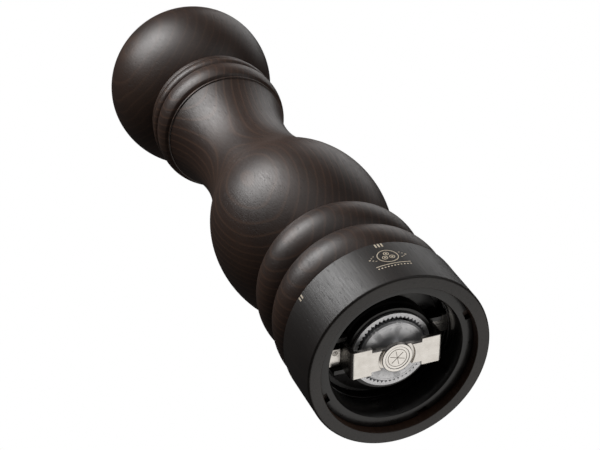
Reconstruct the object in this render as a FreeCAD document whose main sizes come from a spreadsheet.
"""Pepper mill, 22 cm: turned wooden body and head, six-step grind selector in the base.

Frame: millimetres, +Z up the mill's axis, origin at the centre of the flat rim it stands on.
+X runs along the steel stirrup under the grinding ring; -Y is the side that carries mark III.
"""
import FreeCAD
import Part
import math
import os
import Sketcher

DOC = FreeCAD.newDocument("pepper_mill")
SHEET = DOC.addObject("Spreadsheet::Sheet", "Dims")
PIECES = []


# ---------------------------------------------------------------- driving dimensions
DIMENSIONS = [
    # grinding ring and burr
    ("grind_radius", 12.0), ("grind_bottom", 6.6), ("grind_height", 8.0), ("tooth_count", 52),
    ("tooth_wall", 0.85), ("tooth_depth", 0.8), ("cone_draw", 1.1), ("fine_height", 3.0),
    ("throat_lap", 0.8), ("burr_play", 0.25), ("burr_draw", 1.2), ("burr_crown", 5.6),
    ("burr_height", 8.8), ("burr_fine_height", 3.4), ("burr_chamfer", 0.5), ("burr_hub", 3.4),
    ("hub_drop", 0.4), ("burr_tooth_count", 9), ("burr_tooth_lean", 35), ("coarse_depth", 1.5),
    # mechanism housing round the grinding ring
    ("tube_bottom", 7.4), ("tube_wall", 1.2), ("collar_step", 0.5), ("collar_rise", 2.6),
    ("plate_thickness", 1.9), ("hub_height", 1.9), ("hub_inset", 1.4), ("upper_tube_top", 24.0),
    ("seat_gap", 0.05), ("spider_height", 2.5), ("spoke_width", 2.4), ("spider_hub", 6.4),
    ("flat_depth", 0.6), ("flat_margin", 0.25), ("rib_thickness", 1.4), ("rib_beyond_arm", 2.6),
    ("rib_rise", 1.2), ("foot_inset", 1.3), ("foot_drop", 1.5),
    # screws that hold the housing, beside the cavity
    ("screw_count", 2), ("screw_clearance", 2.1), ("screw_wall", 1.6), ("screw_head", 1.8),
    ("screw_shank", 1.1), ("screw_length", 13.0), ("screw_play", 0.15), ("screw_slot", 0.4),
    ("pilot_spare", 0.5),
    # stirrup under the ring
    ("sheet", 1.2), ("arm_play", 0.15), ("bridge_bottom", 2.5), ("bridge_half_width", 4.5),
    ("neck_half_width", 3.3), ("wing_start", 7.6), ("left_foot", 10.4), ("foot_bite", 0.7),
    ("dish_radius", 5.6), ("dish_depth", 0.8), ("disc_radius", 4.7), ("disc_thickness", 1.2),
    ("rivet_radius", 2.4), ("rivet_head", 3.1), ("rivet_head_height", 0.4), ("running_gap", 0.1),
    # plastic liner glued in the ring, with the square groove that lifts the stirrup
    ("plate_play", 1.9), ("liner_wall", 2.2), ("mouth_flare", 0.7), ("mouth_rise", 1.9),
    ("lip_lap", 1.0), ("lip_thickness", 1.2), ("flange_reach", 1.9), ("flange_inset", 2.9),
    ("flange_thickness", 1.5), ("notch_width", 3.0), ("notch_depth", 1.6), ("notch_start", -22.7),
    ("groove_lead", 2.0), ("groove_depth", 1.0), ("groove_play", 0.2), ("groove_first", 380),
    ("groove_last", -140), ("glue_gap", 0.05),
    # selector ring, the wooden foot that turns
    ("ring_radius", 27.8), ("ring_height", 19.4), ("ring_edge_round", 0.6), ("edge_chamfer", 0.3),
    ("joint_gap", 0.1),
    # wooden body, from the selector joint upwards
    ("spigot_play", 0.3), ("spigot_depth", 2.0), ("lower_bead_height", 15.5),
    ("lower_bead_inset", 1.6), ("bead_swell", 1.1), ("upper_bead_start", 0.9),
    ("upper_bead_inset", 2.6), ("upper_bead_height", 14.8), ("bead_groove_inset", 3.2),
    ("belly_groove_height", 1.8), ("belly_rise", 25.4), ("belly_radius", 27.6),
    ("belly_curve", 45.7), ("waist_rise", 48.0), ("waist_radius", 16.7), ("flare_rise", 22.0),
    ("step_radius", 20.9), ("step_height", 0.9), ("top_valley", 20.3), ("valley_height", 0.4),
    ("top_bead_height", 8.4), ("top_bead_edge", 21.9), ("top_bead_lean", 0.6),
    ("top_bead_swell", 1.0), ("mouth_bead_height", 4.7), ("mouth_bead_edge", 21.7),
    ("mouth_bead_lean", 0.4), ("mouth_bead_swell", 1.0),
    ("waist_bore", 11.0), ("cavity_top", 98.0), ("bore_taper", 8.0), ("mouth_radius", 14.0),
    ("mouth_depth", 11.5),
    # wooden head
    ("lip_radius", 21.6), ("lip_height", 2.4), ("lip_chamfer", 0.5), ("neck_radius", 18.4),
    ("neck_bottom", 0.6), ("neck_height", 0.8), ("neck_to_ball", 0.4), ("ball_radius", 28.8),
    ("ball_centre_rise", 24.9), ("shoulder_curve", 20.5), ("crown_rise", 23.9), ("crown_flat", 0.8),
    ("tenon_play", 0.3), ("tenon_length", 10.9), ("head_bore", 3.9),
    # shaft and what it carries
    ("shaft_side", 5.0), ("shaft_play", 0.1), ("shaft_bottom", 7.2), ("thread_radius", 2.5),
    ("thread_start", 6.0), ("clip_radius", 5.2), ("clip_thickness", 0.8), ("clip_groove", 2.4),
    ("clip_mouth", 3.2), ("washer_thickness", 0.5), ("washer_play", 0.1),
    ("bush_radius", 4.6), ("bush_bore", 3.5), ("bush_flange", 5.6), ("bush_flange_height", 0.8),
    ("spring_radius", 4.4), ("spring_wire", 0.9), ("spring_turns", 4.5),
    # head fittings
    ("driver_radius", 10.4), ("driver_thickness", 1.6), ("driver_screw_pitch", 7.2),
    ("driver_screw_length", 12.0), ("knob_ball", 5.0), ("knob_neck", 3.5), ("knob_foot", 5.4),
    ("knob_foot_height", 1.3), ("knob_height", 10.5), ("knob_collar_step", 0.3),
    ("knob_washer_radius", 6.4), ("knob_washer_thickness", 0.8), ("thread_engagement", 7.4),
    ("bore_spare", 0.6),
]


class Size:
    """A dimension that knows its number and the spreadsheet expression it comes from."""

    def __init__(self, value, text):
        self.value = float(value)
        self.text = text

    def __add__(self, other):
        other = as_size(other)
        return Size(self.value + other.value, f"({self.text} + {other.text})")

    def __sub__(self, other):
        other = as_size(other)
        return Size(self.value - other.value, f"({self.text} - {other.text})")

    def __mul__(self, other):
        other = as_size(other)
        return Size(self.value * other.value, f"{self.text} * {other.text}")

    def __truediv__(self, other):
        other = as_size(other)
        return Size(self.value / other.value, f"{self.text} / ({other.text})")

    def __neg__(self):
        return Size(-self.value, f"(0 - {self.text})")


def as_size(number):
    return number if isinstance(number, Size) else Size(number, f"{number:g}")


def root(size):
    return Size(math.sqrt(size.value), f"sqrt({size.text})")


def cosine(degrees):
    return Size(math.cos(math.radians(degrees.value)), f"cos({degrees.text} * 1 deg)")


def sine(degrees):
    return Size(math.sin(math.radians(degrees.value)), f"sin({degrees.text} * 1 deg)")


class Dims:
    """Each driving dimension by name: d.ring_radius is a Size."""


d = Dims()
for row, (alias, number) in enumerate(DIMENSIONS, start=1):
    SHEET.set(f"A{row}", alias)
    SHEET.set(f"B{row}", f"{number:g}")
    SHEET.setAlias(f"B{row}", alias)
    setattr(d, alias, Size(number, f"Dims.{alias}"))
DOC.recompute()


# ---------------------------------------------------------------- building blocks
def bind(thing, **sizes):
    """Set properties of a document object from sizes, each as an expression."""
    for name, size in sizes.items():
        size = as_size(size)
        thing.setExpression(name, size.text)


def place(thing, x=0, y=0, z=0):
    for axis, size in (("x", x), ("y", y), ("z", z)):
        if as_size(size).text != "0":
            thing.setExpression(f"Placement.Base.{axis}", as_size(size).text)
    return thing


def tube_blank(name, radius, bottom, top, x=0, y=0):
    """A plain cylinder along Z between two heights."""
    rod = DOC.addObject("Part::Cylinder", name)
    bind(rod, Radius=radius, Height=as_size(top) - bottom)
    return place(rod, x, y, bottom)


def cone_blank(name, low_radius, high_radius, bottom, top, x=0, y=0):
    cone = DOC.addObject("Part::Cone", name)
    bind(cone, Radius1=low_radius, Radius2=high_radius, Height=as_size(top) - bottom)
    return place(cone, x, y, bottom)


def block(name, x_range, y_range, z_range):
    """A box between two values on each axis."""
    box = DOC.addObject("Part::Box", name)
    spans = [(as_size(low), as_size(high)) for low, high in (x_range, y_range, z_range)]
    lengths = [high - low for low, high in spans]
    bind(box, Length=lengths[0], Width=lengths[1], Height=lengths[2])
    return place(box, spans[0][0], spans[1][0], spans[2][0])


def turn(thing, degrees):
    """Turn a primitive that stands on the mill's axis about that axis."""
    angle = as_size(degrees)
    thing.Placement.Rotation = FreeCAD.Rotation(FreeCAD.Vector(0, 0, 1), angle.value)
    thing.setExpression("Placement.Rotation.Angle", angle.text)
    return thing


def group(name, things):
    if len(things) == 1:
        return things[0]
    joined = DOC.addObject("Part::MultiFuse", name)
    joined.Shapes = things
    return joined


def cut(name, base, tools):
    result = DOC.addObject("Part::Cut", name)
    result.Base = base
    result.Tool = group(f"{name}_tools", tools)
    return result


def shared(name, first, second):
    result = DOC.addObject("Part::Common", name)
    result.Base = first
    result.Tool = second
    return result


def piece(label, thing):
    """Name a finished sub-part; its label is the name of its file."""
    thing.Label = label
    PIECES.append(thing)
    return thing


def plane_of(body, role):
    return next(item for item in body.Origin.OriginFeatures if item.Role == role)


def draw(sketch, outline):
    """Closed outline from (across, up) corners; a corner may add a radius and a bulge side.

    The stretch from such a corner to the next is an arc of that radius. Bulge +1 puts the
    arc on the right-hand side of the direction of travel, and -1 on the left.
    """
    corners = [(as_size(c[0]), as_size(c[1])) + tuple(c[2:]) for c in outline]
    count = len(corners)
    for index, corner in enumerate(corners):
        ahead = corners[(index + 1) % count]
        start = FreeCAD.Vector(corner[0].value, corner[1].value, 0)
        end = FreeCAD.Vector(ahead[0].value, ahead[1].value, 0)
        if len(corner) == 2:
            sketch.addGeometry(Part.LineSegment(start, end), False)
            continue
        radius, side = corner[2].value, corner[3]
        chord = end - start
        half = chord.Length / 2
        right = FreeCAD.Vector(chord.y, -chord.x, 0).normalize()
        sagitta = radius - math.sqrt(max(radius ** 2 - half ** 2, 0))
        crest = (start + end) * 0.5 + right * (sagitta * side)
        # a sketch keeps every arc anticlockwise, so an inward one is drawn from its far end
        arc = Part.Arc(start, crest, end) if side > 0 else Part.Arc(end, crest, start)
        sketch.addGeometry(arc, False)
    flipped = [len(corner) > 2 and corner[3] < 0 for corner in corners]
    for index, corner in enumerate(corners):
        ahead = (index + 1) % count
        own_end = 1 if flipped[index] else 2
        next_start = 2 if flipped[ahead] else 1
        sketch.addConstraint(Sketcher.Constraint("Coincident", index, own_end, ahead, next_start))
    for index, corner in enumerate(corners):
        start_point = 2 if flipped[index] else 1
        fix(sketch, "DistanceX", index, start_point, corner[0], f"x{index}")
        fix(sketch, "DistanceY", index, start_point, corner[1], f"y{index}")
        if len(corner) > 2:
            number = sketch.addConstraint(Sketcher.Constraint("Radius", index, corner[2].value))
            sketch.renameConstraint(number, f"r{index}")
            sketch.setExpression(f"Constraints.r{index}", corner[2].text)


def fix(sketch, kind, index, point, size, name):
    """Hold one coordinate of a point at a size; zero and negative values are allowed."""
    number = sketch.addConstraint(Sketcher.Constraint(kind, -1, 1, index, point, size.value))
    sketch.renameConstraint(number, name)
    sketch.setExpression(f"Constraints.{name}", size.text)


def turned(name, outline):
    """A body of revolution about Z from an outline of (radius, height) corners."""
    body = DOC.addObject("PartDesign::Body", name)
    sketch = body.newObject("Sketcher::SketchObject", f"{name}_outline")
    sketch.AttachmentSupport = [(plane_of(body, "XZ_Plane"), "")]
    sketch.MapMode = "FlatFace"
    draw(sketch, outline)
    revolution = body.newObject("PartDesign::Revolution", f"{name}_turned")
    revolution.Profile = sketch
    revolution.ReferenceAxis = (sketch, ["V_Axis"])
    revolution.Angle = 360
    return body


def padded(name, outline, half_width):
    """A bent strip: an outline in the XZ plane, padded the same way to both sides."""
    body = DOC.addObject("PartDesign::Body", name)
    sketch = body.newObject("Sketcher::SketchObject", f"{name}_outline")
    sketch.AttachmentSupport = [(plane_of(body, "XZ_Plane"), "")]
    sketch.MapMode = "FlatFace"
    draw(sketch, outline)
    pad = body.newObject("PartDesign::Pad", f"{name}_pad")
    pad.Profile = sketch
    pad.Midplane = True
    bind(pad, Length=half_width * 2)
    return body


def swell_radius(height, swell):
    """Radius of the arc that rises by swell over a chord of that height."""
    return (height * height / 4 + swell * swell) / (swell * 2)


def ring_spots(count, first=0):
    """Angles of evenly spaced places round the axis, as sizes in degrees."""
    return [as_size(first) + 360 * index / count for index in range(count)]


# ---------------------------------------------------------------- radii from the burr outwards
tooth_root = d.grind_radius - d.tooth_wall
tooth_tip = tooth_root - d.tooth_depth
throat_radius = d.grind_radius - d.throat_lap
burr_radius = tooth_tip - d.burr_play
burr_waist = burr_radius - d.burr_draw
tube_radius = d.grind_radius + d.tube_wall
tube_collar = tube_radius + d.collar_step
arm_flat = tube_radius - d.flat_depth
arm_outer = arm_flat + d.arm_play + d.sheet
screw_circle = tube_collar + d.screw_clearance
cavity_radius = screw_circle - d.screw_wall
plate_radius = screw_circle + d.screw_clearance
hub_radius = plate_radius - d.hub_inset
liner_lip_inner = plate_radius - d.lip_lap
liner_inner = plate_radius + d.plate_play
liner_mouth = liner_inner + d.mouth_flare
liner_outer = liner_inner + d.liner_wall
foot_reach = liner_inner + d.foot_bite
rim_bore = liner_outer + d.flange_reach
spigot_radius = liner_outer - d.spigot_play
lower_bead_edge = d.ring_radius - d.lower_bead_inset
upper_bead_edge = d.ring_radius - d.upper_bead_inset
bead_groove = d.ring_radius - d.bead_groove_inset


# ---------------------------------------------------------------- heights up the mill
flange_top = d.flange_inset + d.flange_thickness
spigot_bottom = d.ring_height - d.spigot_depth
lower_bead_top = d.ring_height + d.lower_bead_height
upper_bead_bottom = lower_bead_top + d.upper_bead_start
upper_bead_top = upper_bead_bottom + d.upper_bead_height
belly_start = upper_bead_top + d.belly_groove_height
belly_height = upper_bead_top + d.belly_rise
waist_height = belly_height + d.waist_rise
flare_top = waist_height + d.flare_rise
step_top = flare_top + d.step_height
top_bead_bottom = step_top + d.valley_height
top_bead_top = top_bead_bottom + d.top_bead_height
body_top = top_bead_top + d.mouth_bead_height
head_bottom = body_top + d.joint_gap * 2
tenon_bottom = head_bottom - d.tenon_length
mouth_bottom = body_top - d.mouth_depth
ball_centre = head_bottom + d.ball_centre_rise
crown_top = ball_centre + d.crown_rise - d.crown_flat
plate_top = spigot_bottom - d.hub_height
plate_bottom = plate_top - d.plate_thickness
lip_bottom = plate_top + d.joint_gap
dish_floor = d.bridge_bottom + d.dish_depth
burr_face = dish_floor + d.sheet + d.rivet_head_height + d.running_gap + d.hub_drop
burr_top = burr_face + d.burr_height
spider_bottom = d.upper_tube_top - d.spider_height
bush_top = d.upper_tube_top + d.bush_flange_height
clip_bottom = bush_top + d.running_gap + d.washer_thickness
knob_washer_top = crown_top + d.knob_washer_thickness
knob_top = knob_washer_top + d.running_gap + d.knob_height


# ---------------------------------------------------------------- wooden body
def make_body():
    """Beads, belly, waist and flare in one turning; bored for the peppercorns."""
    # belly arc about a centre inside the mill, then one concave arc tangent to it that
    # passes the waist and ends at the flare
    belly_centre = d.belly_radius - d.belly_curve
    offset = d.waist_radius - belly_centre
    waist_curve = ((d.waist_rise * d.waist_rise + offset * offset - d.belly_curve * d.belly_curve)
                   / ((d.belly_curve - offset) * 2))
    share = d.belly_curve / (d.belly_curve + waist_curve)
    tangent_height = belly_height + d.waist_rise * share
    tangent_radius = belly_centre + (offset + waist_curve) * share
    start_drop = belly_height - belly_start
    start_radius = belly_centre + root(d.belly_curve * d.belly_curve - start_drop * start_drop)
    flare_radius = (d.waist_radius + waist_curve
                    - root(waist_curve * waist_curve - d.flare_rise * d.flare_rise))
    taper_top = d.cavity_top + d.bore_taper
    outline = [
        (cavity_radius, spigot_bottom),
        (spigot_radius, spigot_bottom),
        (spigot_radius, d.ring_height),
        (lower_bead_edge, d.ring_height, swell_radius(d.lower_bead_height, d.bead_swell), 1),
        (lower_bead_edge, lower_bead_top),
        (bead_groove, lower_bead_top + d.upper_bead_start / 2),
        (upper_bead_edge, upper_bead_bottom, swell_radius(d.upper_bead_height, d.bead_swell), 1),
        (upper_bead_edge, upper_bead_top),
        (start_radius - 0.4, upper_bead_top + d.belly_groove_height * 0.6),
        (start_radius, belly_start, d.belly_curve, 1),
        (tangent_radius, tangent_height, waist_curve, -1),
        (flare_radius, flare_top),
        (d.step_radius, flare_top + 0.1),
        (d.step_radius, step_top),
        (d.top_valley, step_top + 0.1),
        (d.top_bead_edge - d.top_bead_lean, top_bead_bottom,
         swell_radius(d.top_bead_height, d.top_bead_swell), 1),
        (d.top_bead_edge, top_bead_top),
        (d.mouth_bead_edge, top_bead_top + d.edge_chamfer,
         swell_radius(d.mouth_bead_height - d.edge_chamfer, d.mouth_bead_swell), 1),
        (d.mouth_bead_edge - d.mouth_bead_lean, body_top),
        (d.mouth_radius, body_top),
        (d.mouth_radius, mouth_bottom),
        (d.waist_bore, mouth_bottom),
        (d.waist_bore, taper_top),
        (cavity_radius, d.cavity_top),
    ]
    blank = turned("body_blank", outline)
    holes = [tube_blank(f"body_pilot_{number}", d.screw_shank - 0.1, spigot_bottom - 1,
                        plate_bottom + d.screw_length + d.pilot_spare,
                        screw_circle * cosine(spot), screw_circle * sine(spot))
             for number, spot in enumerate(ring_spots(int(d.screw_count.value), 90))]
    piece("body", cut("body_bored", blank, holes))


# ---------------------------------------------------------------- wooden head
def make_head():
    """Ball with a flatter crown, a thin lip over the body's mouth and a tenon inside it."""
    tenon_radius = d.mouth_radius - d.tenon_play
    recess_radius = d.driver_radius + d.running_gap
    lip_top = head_bottom + d.lip_height
    neck_top = lip_top + d.neck_bottom + d.neck_height
    ball_start = neck_top + d.neck_to_ball
    drop = ball_centre - ball_start
    ball_start_radius = root(d.ball_radius * d.ball_radius - drop * drop)
    # the shoulder and crown arcs are tangent to each other and to the ball at its widest
    shoulder_centre = d.ball_radius - d.shoulder_curve
    spare = d.crown_rise - d.shoulder_curve
    crown_drop = (shoulder_centre * shoulder_centre - spare * spare) / (spare * 2)
    crown_curve = d.shoulder_curve + crown_drop + spare
    crown_share = crown_curve / (crown_drop + spare)
    crown_centre = ball_centre - crown_drop
    rise = crown_top - crown_centre
    outline = [
        (recess_radius, tenon_bottom),
        (tenon_radius, tenon_bottom),
        (tenon_radius, head_bottom),
        (d.lip_radius - d.lip_chamfer, head_bottom),
        (d.lip_radius, head_bottom + d.lip_chamfer),
        (d.lip_radius, lip_top - d.edge_chamfer),
        (d.lip_radius - 0.7, lip_top),
        (d.neck_radius, lip_top + d.neck_bottom),
        (d.neck_radius, neck_top),
        (ball_start_radius, ball_start, d.ball_radius, 1),
        (d.ball_radius, ball_centre, d.shoulder_curve, 1),
        (shoulder_centre * crown_share, crown_centre + crown_drop * crown_share, crown_curve, 1),
        (root(crown_curve * crown_curve - rise * rise), crown_top),
        (d.head_bore, crown_top),
        (d.head_bore, tenon_bottom + d.driver_thickness),
        (recess_radius, tenon_bottom + d.driver_thickness),
    ]
    blank = turned("head_blank", outline)
    holes = [tube_blank(f"head_pilot_{number}", d.screw_shank - 0.1, tenon_bottom,
                        tenon_bottom + d.driver_screw_length + d.pilot_spare,
                        d.driver_screw_pitch * side)
             for number, side in enumerate((-1, 1))]
    piece("head", cut("head_bored", blank, holes))


# ---------------------------------------------------------------- selector
def make_selector_ring():
    """Straight wooden ring with a thin rounded edge; its step seats the liner's flange."""
    top = d.ring_height - d.joint_gap
    bore = liner_outer + d.glue_gap
    outline = [
        (rim_bore, 0),
        (d.ring_radius - d.ring_edge_round, 0, d.ring_edge_round, 1),
        (d.ring_radius, d.ring_edge_round),
        (d.ring_radius, top - d.edge_chamfer),
        (d.ring_radius - d.edge_chamfer, top),
        (bore, top),
        (bore, flange_top),
        (rim_bore, flange_top),
    ]
    piece("selector_ring", turned("selector_ring_turned", outline))


def radial_block(name, inner, outer, half_width, bottom, top, spot):
    """A box that points outwards from the mill's axis at an angle."""
    spot = as_size(spot)
    box = DOC.addObject("Part::Box", name)
    bind(box, Length=as_size(outer) - inner, Width=as_size(half_width) * 2,
         Height=as_size(top) - bottom)
    x = as_size(inner) * cosine(spot) + half_width * sine(spot)
    y = as_size(inner) * sine(spot) - half_width * cosine(spot)
    turn(box, spot)
    return place(box, x, y, bottom)


def helix_band(name, inner, outer, height, start_spot, start_height, span, lead):
    """A rectangular section swept up a left-hand helix about the mill's axis."""
    rise = lead * span / 360
    middle = (inner + outer) / 2
    spine = Part.makeHelix(lead, rise, middle, 0, True)
    corners = [FreeCAD.Vector(radius, 0, level)
               for radius, level in ((inner, -height / 2), (outer, -height / 2),
                                     (outer, height / 2), (inner, height / 2))]
    section = Part.makePolygon(corners + corners[:1])
    band = DOC.addObject("Part::Feature", name)
    band.Shape = Part.Wire(spine.Edges).makePipeShell([section], True, True)
    band.Placement = FreeCAD.Placement(FreeCAD.Vector(0, 0, start_height),
                                       FreeCAD.Rotation(FreeCAD.Vector(0, 0, 1), start_spot))
    return band


def make_selector_liner():
    """Black cup glued in the ring: flange below, snap lip above, square thread between."""
    outline = [
        (liner_mouth, d.flange_inset),
        (rim_bore - d.glue_gap, d.flange_inset),
        (rim_bore - d.glue_gap, flange_top),
        (liner_outer, flange_top),
        (liner_outer, lip_bottom + d.lip_thickness),
        (liner_lip_inner, lip_bottom + d.lip_thickness),
        (liner_lip_inner, lip_bottom),
        (liner_inner, lip_bottom),
        (liner_inner, d.flange_inset + d.mouth_rise),
    ]
    blank = turned("liner_blank", outline)
    notches = [radial_block(f"liner_notch_{number}", rim_bore - d.notch_depth, rim_bore + 1,
                            d.notch_width / 2, d.flange_inset - 1, flange_top + 0.5, spot)
               for number, spot in enumerate(ring_spots(4, d.notch_start))]
    # the groove passes the left foot's height at 180 degrees and runs on past both ends of
    # the selector's travel, so one groove holds both feet half a lead apart
    first_spot = d.groove_first.value
    last_spot = d.groove_last.value
    foot_middle = d.left_foot + d.sheet / 2
    start_height = foot_middle + d.groove_lead * (180 - first_spot) / 360
    groove = helix_band("liner_groove", liner_inner.value - 1,
                        liner_inner.value + d.groove_depth.value,
                        d.sheet.value + 2 * d.groove_play.value, first_spot,
                        start_height.value, first_spot - last_spot, d.groove_lead.value)
    piece("selector_liner", cut("liner_cut", blank, notches + [groove]))


# ---------------------------------------------------------------- mechanism housing
def make_housing():
    """Tube round the grinding ring, screw plate, and a three-spoke bearing in the cavity."""
    bore = d.grind_radius + d.seat_gap
    seat_top = d.grind_bottom + d.grind_height + d.seat_gap
    upper_radius = cavity_radius - d.seat_gap * 3
    collar_start = d.tube_bottom + d.collar_rise
    outline = [
        (bore, d.tube_bottom),
        (tube_radius, d.tube_bottom),
        (tube_radius, collar_start),
        (tube_collar, collar_start + d.collar_step),
        (tube_collar, plate_bottom),
        (plate_radius, plate_bottom),
        (plate_radius, plate_top),
        (hub_radius, plate_top),
        (hub_radius, spigot_bottom),
        (upper_radius, spigot_bottom),
        (upper_radius, d.upper_tube_top),
        (throat_radius, d.upper_tube_top),
        (throat_radius, seat_top),
        (bore, seat_top),
    ]
    shell = turned("housing_shell", outline)
    spider = [tube_blank("spider_hub", d.spider_hub, spider_bottom, d.upper_tube_top)]
    spider += [radial_block(f"spider_spoke_{number}", d.bush_radius, throat_radius + 1,
                            d.spoke_width / 2, spider_bottom, d.upper_tube_top, spot)
               for number, spot in enumerate(ring_spots(3, 30))]
    # a pair of ribs guides each arm of the stirrup
    side = d.bridge_half_width + d.flat_margin
    rib_span = (arm_flat, arm_outer + d.rib_beyond_arm)
    ribs = [block(f"guide_rib_{number}", x_span, y_span, (d.tube_bottom + d.rib_rise, plate_bottom))
            for number, (x_span, y_span) in enumerate(
                (x_span, y_span)
                for x_span in (rib_span, (-rib_span[1], -rib_span[0]))
                for y_span in ((side, side + d.rib_thickness), (-side - d.rib_thickness, -side)))]
    solid = group("housing_solid", [shell] + spider + ribs)
    cuts = [tube_blank("bush_seat", d.bush_radius + d.seat_gap, spider_bottom - 1,
                       d.upper_tube_top + 1)]
    for number, spot in enumerate(ring_spots(2)):
        cuts.append(radial_block(f"arm_flat_{number}", arm_flat, plate_radius, side,
                                 d.tube_bottom - 1, plate_bottom, spot))
    for number, spot in enumerate(ring_spots(int(d.screw_count.value), 90)):
        x = screw_circle * cosine(spot)
        y = screw_circle * sine(spot)
        cuts.append(tube_blank(f"screw_hole_{number}", d.screw_shank + d.screw_play,
                               plate_bottom - 1, spigot_bottom + 1, x, y))
        cuts.append(cone_blank(f"screw_sink_{number}", d.screw_head + 0.1, d.screw_shank + 0.1,
                               plate_bottom, plate_bottom + 1, x, y))
    piece("mechanism_housing", cut("housing_cut", solid, cuts))


def make_housing_screws():
    """Countersunk wood screws, one each side, through the plate into the body."""
    screws = []
    for number, spot in enumerate(ring_spots(int(d.screw_count.value), 90)):
        x = screw_circle * cosine(spot)
        y = screw_circle * sine(spot)
        screws.append(screw(f"housing_screw_{number}", plate_bottom, 1, d.screw_head,
                            d.screw_length, x, y))
    piece("housing_screws", group("housing_screws_all", screws))


def screw(name, head_face, head_height, head_radius, length, x, y):
    """Countersunk screw pointing up: cone head with a straight slot, then a plain shank."""
    top = head_face + head_height
    head = cone_blank(f"{name}_head", head_radius, d.screw_shank, head_face, top, x, y)
    shank = tube_blank(f"{name}_shank", d.screw_shank - 0.1, top - 0.2, head_face + length, x, y)
    slot_length = head_radius * 2 + 1
    slot = block(f"{name}_slot", (as_size(x) - slot_length / 2, as_size(x) + slot_length / 2),
                 (as_size(y) - d.screw_slot / 2, as_size(y) + d.screw_slot / 2),
                 (head_face - 0.5, head_face + d.screw_slot))
    return cut(f"{name}_cut", group(f"{name}_solid", [head, shank]), [slot])


# ---------------------------------------------------------------- grinding ring and burr
def toothed(count, low, high, turn_over=0.0):
    """Solid between two many-pointed stars; low and high are (tip, root, height)."""
    wires = []
    for (tip, base, level), lead_angle in ((low, 0.0), (high, math.radians(turn_over))):
        points = []
        for step in range(2 * count):
            angle = math.pi * step / count + lead_angle
            radius = tip if step % 2 == 0 else base
            points.append(FreeCAD.Vector(radius * math.cos(angle), radius * math.sin(angle), level))
        wires.append(Part.makePolygon(points + points[:1]))
    return Part.makeLoft(wires, True, True)


def make_grinding_ring():
    """Hard steel ring with fine internal teeth low down and a funnel above them."""
    bottom = d.grind_bottom.value
    height = d.grind_height.value
    fine_top = bottom + d.fine_height.value
    tip = tooth_tip.value
    base = tooth_root.value
    draw_in = d.cone_draw.value
    teeth = toothed(int(d.tooth_count.value), (base, tip, bottom),
                    (base - draw_in, tip - draw_in, fine_top))
    funnel = Part.makeCone(tip - draw_in, throat_radius.value, height - d.fine_height.value,
                           FreeCAD.Vector(0, 0, fine_top))
    ring = Part.makeCylinder(d.grind_radius.value, height, FreeCAD.Vector(0, 0, bottom))
    feature = DOC.addObject("Part::Feature", "grinding_ring_feature")
    feature.Shape = ring.cut(teeth).cut(funnel)
    piece("grinding_ring", feature)


def make_burr():
    """Hard steel cone: fine teeth at its wide foot, coarse slanted teeth towards its crown."""
    face = burr_face.value
    top = burr_top.value
    fine_top = face + d.burr_fine_height.value
    wide = burr_radius.value
    narrow = burr_waist.value
    crown = d.burr_crown.value
    chamfer = d.burr_chamfer.value
    foot = Part.makeCone(wide - chamfer - 0.1, wide - 0.1, chamfer, FreeCAD.Vector(0, 0, face))
    fine = toothed(int(d.tooth_count.value), (wide, wide - 0.4, face + chamfer),
                   (narrow, narrow - 0.4, fine_top))
    coarse_depth = d.coarse_depth.value
    coarse = toothed(int(d.burr_tooth_count.value),
                     (narrow - chamfer, narrow - chamfer - coarse_depth, fine_top),
                     (crown, crown - 1.0, top), d.burr_tooth_lean.value)
    hub = Part.makeCylinder(d.burr_hub.value, top - face + d.hub_drop.value,
                            FreeCAD.Vector(0, 0, face - d.hub_drop.value))
    side = d.shaft_side.value + d.shaft_play.value
    bore = Part.makeBox(side, side, top, FreeCAD.Vector(-side / 2, -side / 2,
                                                        d.shaft_bottom.value - 1))
    feature = DOC.addObject("Part::Feature", "grinding_burr_feature")
    feature.Shape = hub.multiFuse([foot, fine, coarse]).cut(bore).removeSplitter()
    piece("grinding_burr", feature)


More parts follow.
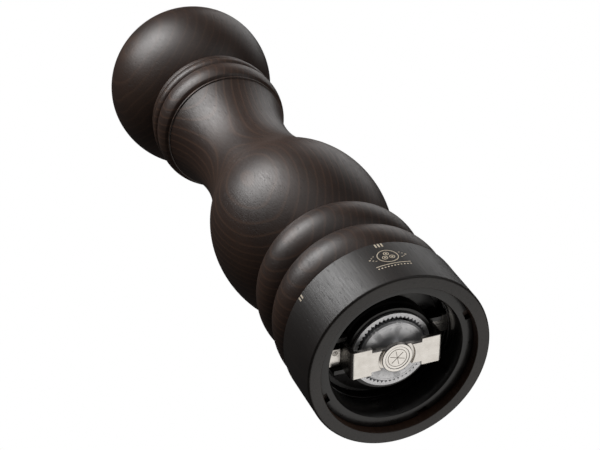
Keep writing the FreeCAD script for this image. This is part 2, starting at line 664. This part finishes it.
# ---------------------------------------------------------------- stirrup
def make_stirrup():
    """Bent steel strip: bridge under the burr, two arms up the tube, two feet in the groove."""
    right_foot = d.left_foot + d.groove_lead / 2
    far = foot_reach + 1
    inner = arm_outer - d.sheet
    low = d.bridge_bottom
    bend = low + d.sheet
    outline = [
        (-far, d.left_foot),
        (-arm_outer, d.left_foot),
        (-arm_outer, bend, d.sheet, 1),
        (-inner, low),
        (inner, low, d.sheet, 1),
        (arm_outer, bend),
        (arm_outer, right_foot),
        (far, right_foot),
        (far, right_foot + d.sheet),
        (inner, right_foot + d.sheet),
        (inner, bend),
        (-inner, bend),
        (-inner, d.left_foot + d.sheet),
        (-far, d.left_foot + d.sheet),
    ]
    strip = padded("stirrup_strip", outline, d.bridge_half_width)
    tips = tube_blank("stirrup_tips", foot_reach, 0, right_foot + d.sheet + 1)
    wide = d.bridge_half_width + 1
    # each foot is a tab on one half of its arm, the two on opposite halves
    missing = [block("left_foot_missing", (-far, -inner), (-wide, -d.foot_inset),
                     (d.left_foot - d.foot_drop, d.left_foot + d.sheet + 1)),
               block("right_foot_missing", (inner, far), (d.foot_inset, wide),
                     (right_foot - d.foot_drop, right_foot + d.sheet + 1))]
    rounded = cut("stirrup_tabs", shared("stirrup_rounded", strip, tips), missing)
    necks = [block(f"stirrup_neck_{number}", (-d.wing_start, d.wing_start), span,
                   (low - 1, bend + 1))
             for number, span in enumerate(((-wide, -d.neck_half_width), (d.neck_half_width, wide)))]
    waisted = cut("stirrup_waisted", rounded, necks)
    dish = tube_blank("dish_disc", d.dish_radius + d.sheet, dish_floor, dish_floor + d.sheet)
    strip_width = block("dish_width", (-d.wing_start, d.wing_start),
                        (-d.neck_half_width, d.neck_half_width), (low, bend + 2))
    pressed = group("stirrup_pressed", [waisted, shared("dish_trimmed", dish, strip_width)])
    hollow = tube_blank("dish_hollow", d.dish_radius, low - 1, dish_floor)
    hole = tube_blank("rivet_hole", d.rivet_radius + d.seat_gap, low - 1, bend + 2)
    piece("stirrup", cut("stirrup_cut", pressed, [hollow, hole]))


def make_bearing_disc():
    """Polished disc riveted in the dish; its far end carries the turning burr."""
    face = dish_floor - d.disc_thickness
    dish_top = dish_floor + d.sheet
    outline = [
        (0, face),
        (d.disc_radius - 0.4, face),
        (d.disc_radius, face + 0.4),
        (d.disc_radius, dish_floor),
        (d.rivet_radius, dish_floor),
        (d.rivet_radius, dish_top),
        (d.rivet_head, dish_top),
        (d.rivet_head, dish_top + d.rivet_head_height),
        (0, dish_top + d.rivet_head_height),
    ]
    piece("bearing_disc", turned("bearing_disc_turned", outline))


# ---------------------------------------------------------------- shaft and its bearings
def square_rod(name, side, bottom, top):
    half = as_size(side) / 2
    return block(name, (-half, half), (-half, half), (bottom, top))


def make_shaft():
    """Square rod from the burr to the crown, with a round threaded end for the knob."""
    square_top = crown_top - d.thread_start
    thread_top = knob_washer_top + d.thread_engagement
    rod = square_rod("shaft_square", d.shaft_side, d.shaft_bottom, square_top)
    eased = shared("shaft_eased", rod, tube_blank("shaft_corners", d.bush_bore - 0.05,
                                                  d.shaft_bottom - 1, square_top + 1))
    thread = tube_blank("shaft_thread", d.thread_radius, square_top - 1, thread_top)
    groove = cut("clip_groove_ring",
                 tube_blank("clip_groove_outer", 4.5, clip_bottom, clip_bottom + d.clip_thickness),
                 [tube_blank("clip_groove_inner", d.clip_groove, clip_bottom - 1,
                             clip_bottom + d.clip_thickness + 1)])
    piece("drive_shaft", cut("shaft_cut", group("shaft_solid", [eased, thread]), [groove]))


def flat_ring(name, inner, outer, bottom, top):
    return turned(name, [(inner, bottom), (outer, bottom), (outer, top), (inner, top)])


def make_shaft_fittings():
    """Bush in the spider, washer and clip above it, spring and its washer below it."""
    bush = [
        (d.bush_bore, spider_bottom),
        (d.bush_radius, spider_bottom),
        (d.bush_radius, d.upper_tube_top),
        (d.bush_flange, d.upper_tube_top),
        (d.bush_flange, bush_top),
        (d.bush_bore, bush_top),
    ]
    piece("bearing_bush", turned("bearing_bush_turned", bush))
    piece("bearing_washer", flat_ring("bearing_washer_ring", d.bush_bore + d.washer_play,
                                      d.clip_radius, bush_top + d.running_gap, clip_bottom))
    clip = flat_ring("clip_ring", d.clip_groove + d.seat_gap, d.clip_radius, clip_bottom,
                     clip_bottom + d.clip_thickness)
    mouth = block("clip_mouth", (0, d.clip_radius + 1), (-d.clip_mouth / 2, d.clip_mouth / 2),
                  (clip_bottom - 1, clip_bottom + 2))
    piece("shaft_clip", cut("clip_cut", clip, [mouth]))
    washer_bottom = spider_bottom - d.washer_thickness
    piece("spring_washer", flat_ring("spring_washer_ring", d.bush_bore + 0.3, d.clip_radius,
                                     washer_bottom, spider_bottom))
    low = burr_top.value + d.spring_wire.value / 2 + 0.05
    high = washer_bottom.value - d.spring_wire.value / 2 - 0.05
    spine = Part.makeHelix((high - low) / d.spring_turns.value, high - low, d.spring_radius.value)
    section = Part.makeCircle(d.spring_wire.value / 2, FreeCAD.Vector(d.spring_radius.value, 0, 0),
                              FreeCAD.Vector(0, 1, 0))
    feature = DOC.addObject("Part::Feature", "burr_spring_feature")
    feature.Shape = Part.Wire(spine.Edges).makePipeShell([Part.Wire([section])], True, False)
    feature.Placement.Base = FreeCAD.Vector(0, 0, low)
    piece("burr_spring", feature)


# ---------------------------------------------------------------- head fittings
def make_driver_plate():
    """Steel plate let into the tenon; its square hole turns the shaft."""
    top = tenon_bottom + d.driver_thickness
    blank = tube_blank("driver_blank", d.driver_radius, tenon_bottom, top)
    holes = [square_rod("driver_square", d.shaft_side + d.shaft_play, tenon_bottom - 1, top + 1)]
    screws = []
    for number, side in enumerate((-1, 1)):
        x = d.driver_screw_pitch * side
        holes.append(tube_blank(f"driver_hole_{number}", d.screw_shank + d.screw_play,
                                tenon_bottom - 1, top + 1, x))
        holes.append(cone_blank(f"driver_sink_{number}", d.screw_head + 0.1, d.screw_shank + 0.1,
                                tenon_bottom, tenon_bottom + 1, x))
        screws.append(screw(f"driver_screw_{number}", tenon_bottom, 1, d.screw_head,
                            d.driver_screw_length, x, 0))
    piece("driver_plate", cut("driver_cut", blank, holes))
    piece("driver_plate_screws", group("driver_screws_all", screws))


def make_knob():
    """Turned steel knob with a blind tapped bore and a captive washer under its foot."""
    bore = d.thread_radius + 0.05
    bore_top = knob_washer_top + d.thread_engagement + d.bore_spare
    collar = d.knob_neck - d.knob_collar_step
    foot_bottom = knob_washer_top + d.running_gap
    foot_top = foot_bottom + d.knob_foot_height
    centre = knob_top - d.knob_ball
    neck_top = centre - root(d.knob_ball * d.knob_ball - d.knob_neck * d.knob_neck)
    outline = [
        (bore, crown_top + d.running_gap),
        (collar, crown_top + d.running_gap),
        (collar, foot_bottom),
        (d.knob_foot - 0.3, foot_bottom),
        (d.knob_foot, foot_bottom + 0.3),
        (d.knob_foot, foot_top - 0.4),
        (d.knob_neck, foot_top),
        (d.knob_neck, neck_top, d.knob_ball, 1),
        (d.knob_ball, centre, d.knob_ball, 1),
        (0, knob_top),
        (0, bore_top),
        (bore, bore_top),
    ]
    piece("top_knob", turned("knob_turned", outline))
    piece("knob_washer", flat_ring("knob_washer_ring", collar + d.running_gap,
                                   d.knob_washer_radius, crown_top, knob_washer_top))


# ---------------------------------------------------------------- build, check, write
make_body()
make_head()
make_selector_ring()
make_selector_liner()
make_housing()
make_housing_screws()
make_grinding_ring()
make_burr()
make_stirrup()
make_bearing_disc()
make_shaft()
make_shaft_fittings()
make_driver_plate()
make_knob()
DOC.recompute()

failed = [item.Name for item in DOC.Objects if "Invalid" in item.State or "Error" in item.State]
if failed:
    raise RuntimeError(f"these objects did not build: {failed}")
for thing in PIECES:
    shape = thing.Shape
    if shape.isNull() or not shape.isValid() or not shape.Solids:
        raise RuntimeError(f"{thing.Label} has no valid solid")

os.makedirs("parts", exist_ok=True)
for thing in PIECES:
    thing.Shape.exportStep(os.path.join("parts", f"{thing.Label}.step"))
    box = thing.Shape.BoundBox
    print(f"{thing.Label}: {len(thing.Shape.Solids)} solid, {thing.Shape.Volume:.1f} mm3, "
          f"z {box.ZMin:.2f} to {box.ZMax:.2f}, widest {box.XLength:.2f}")
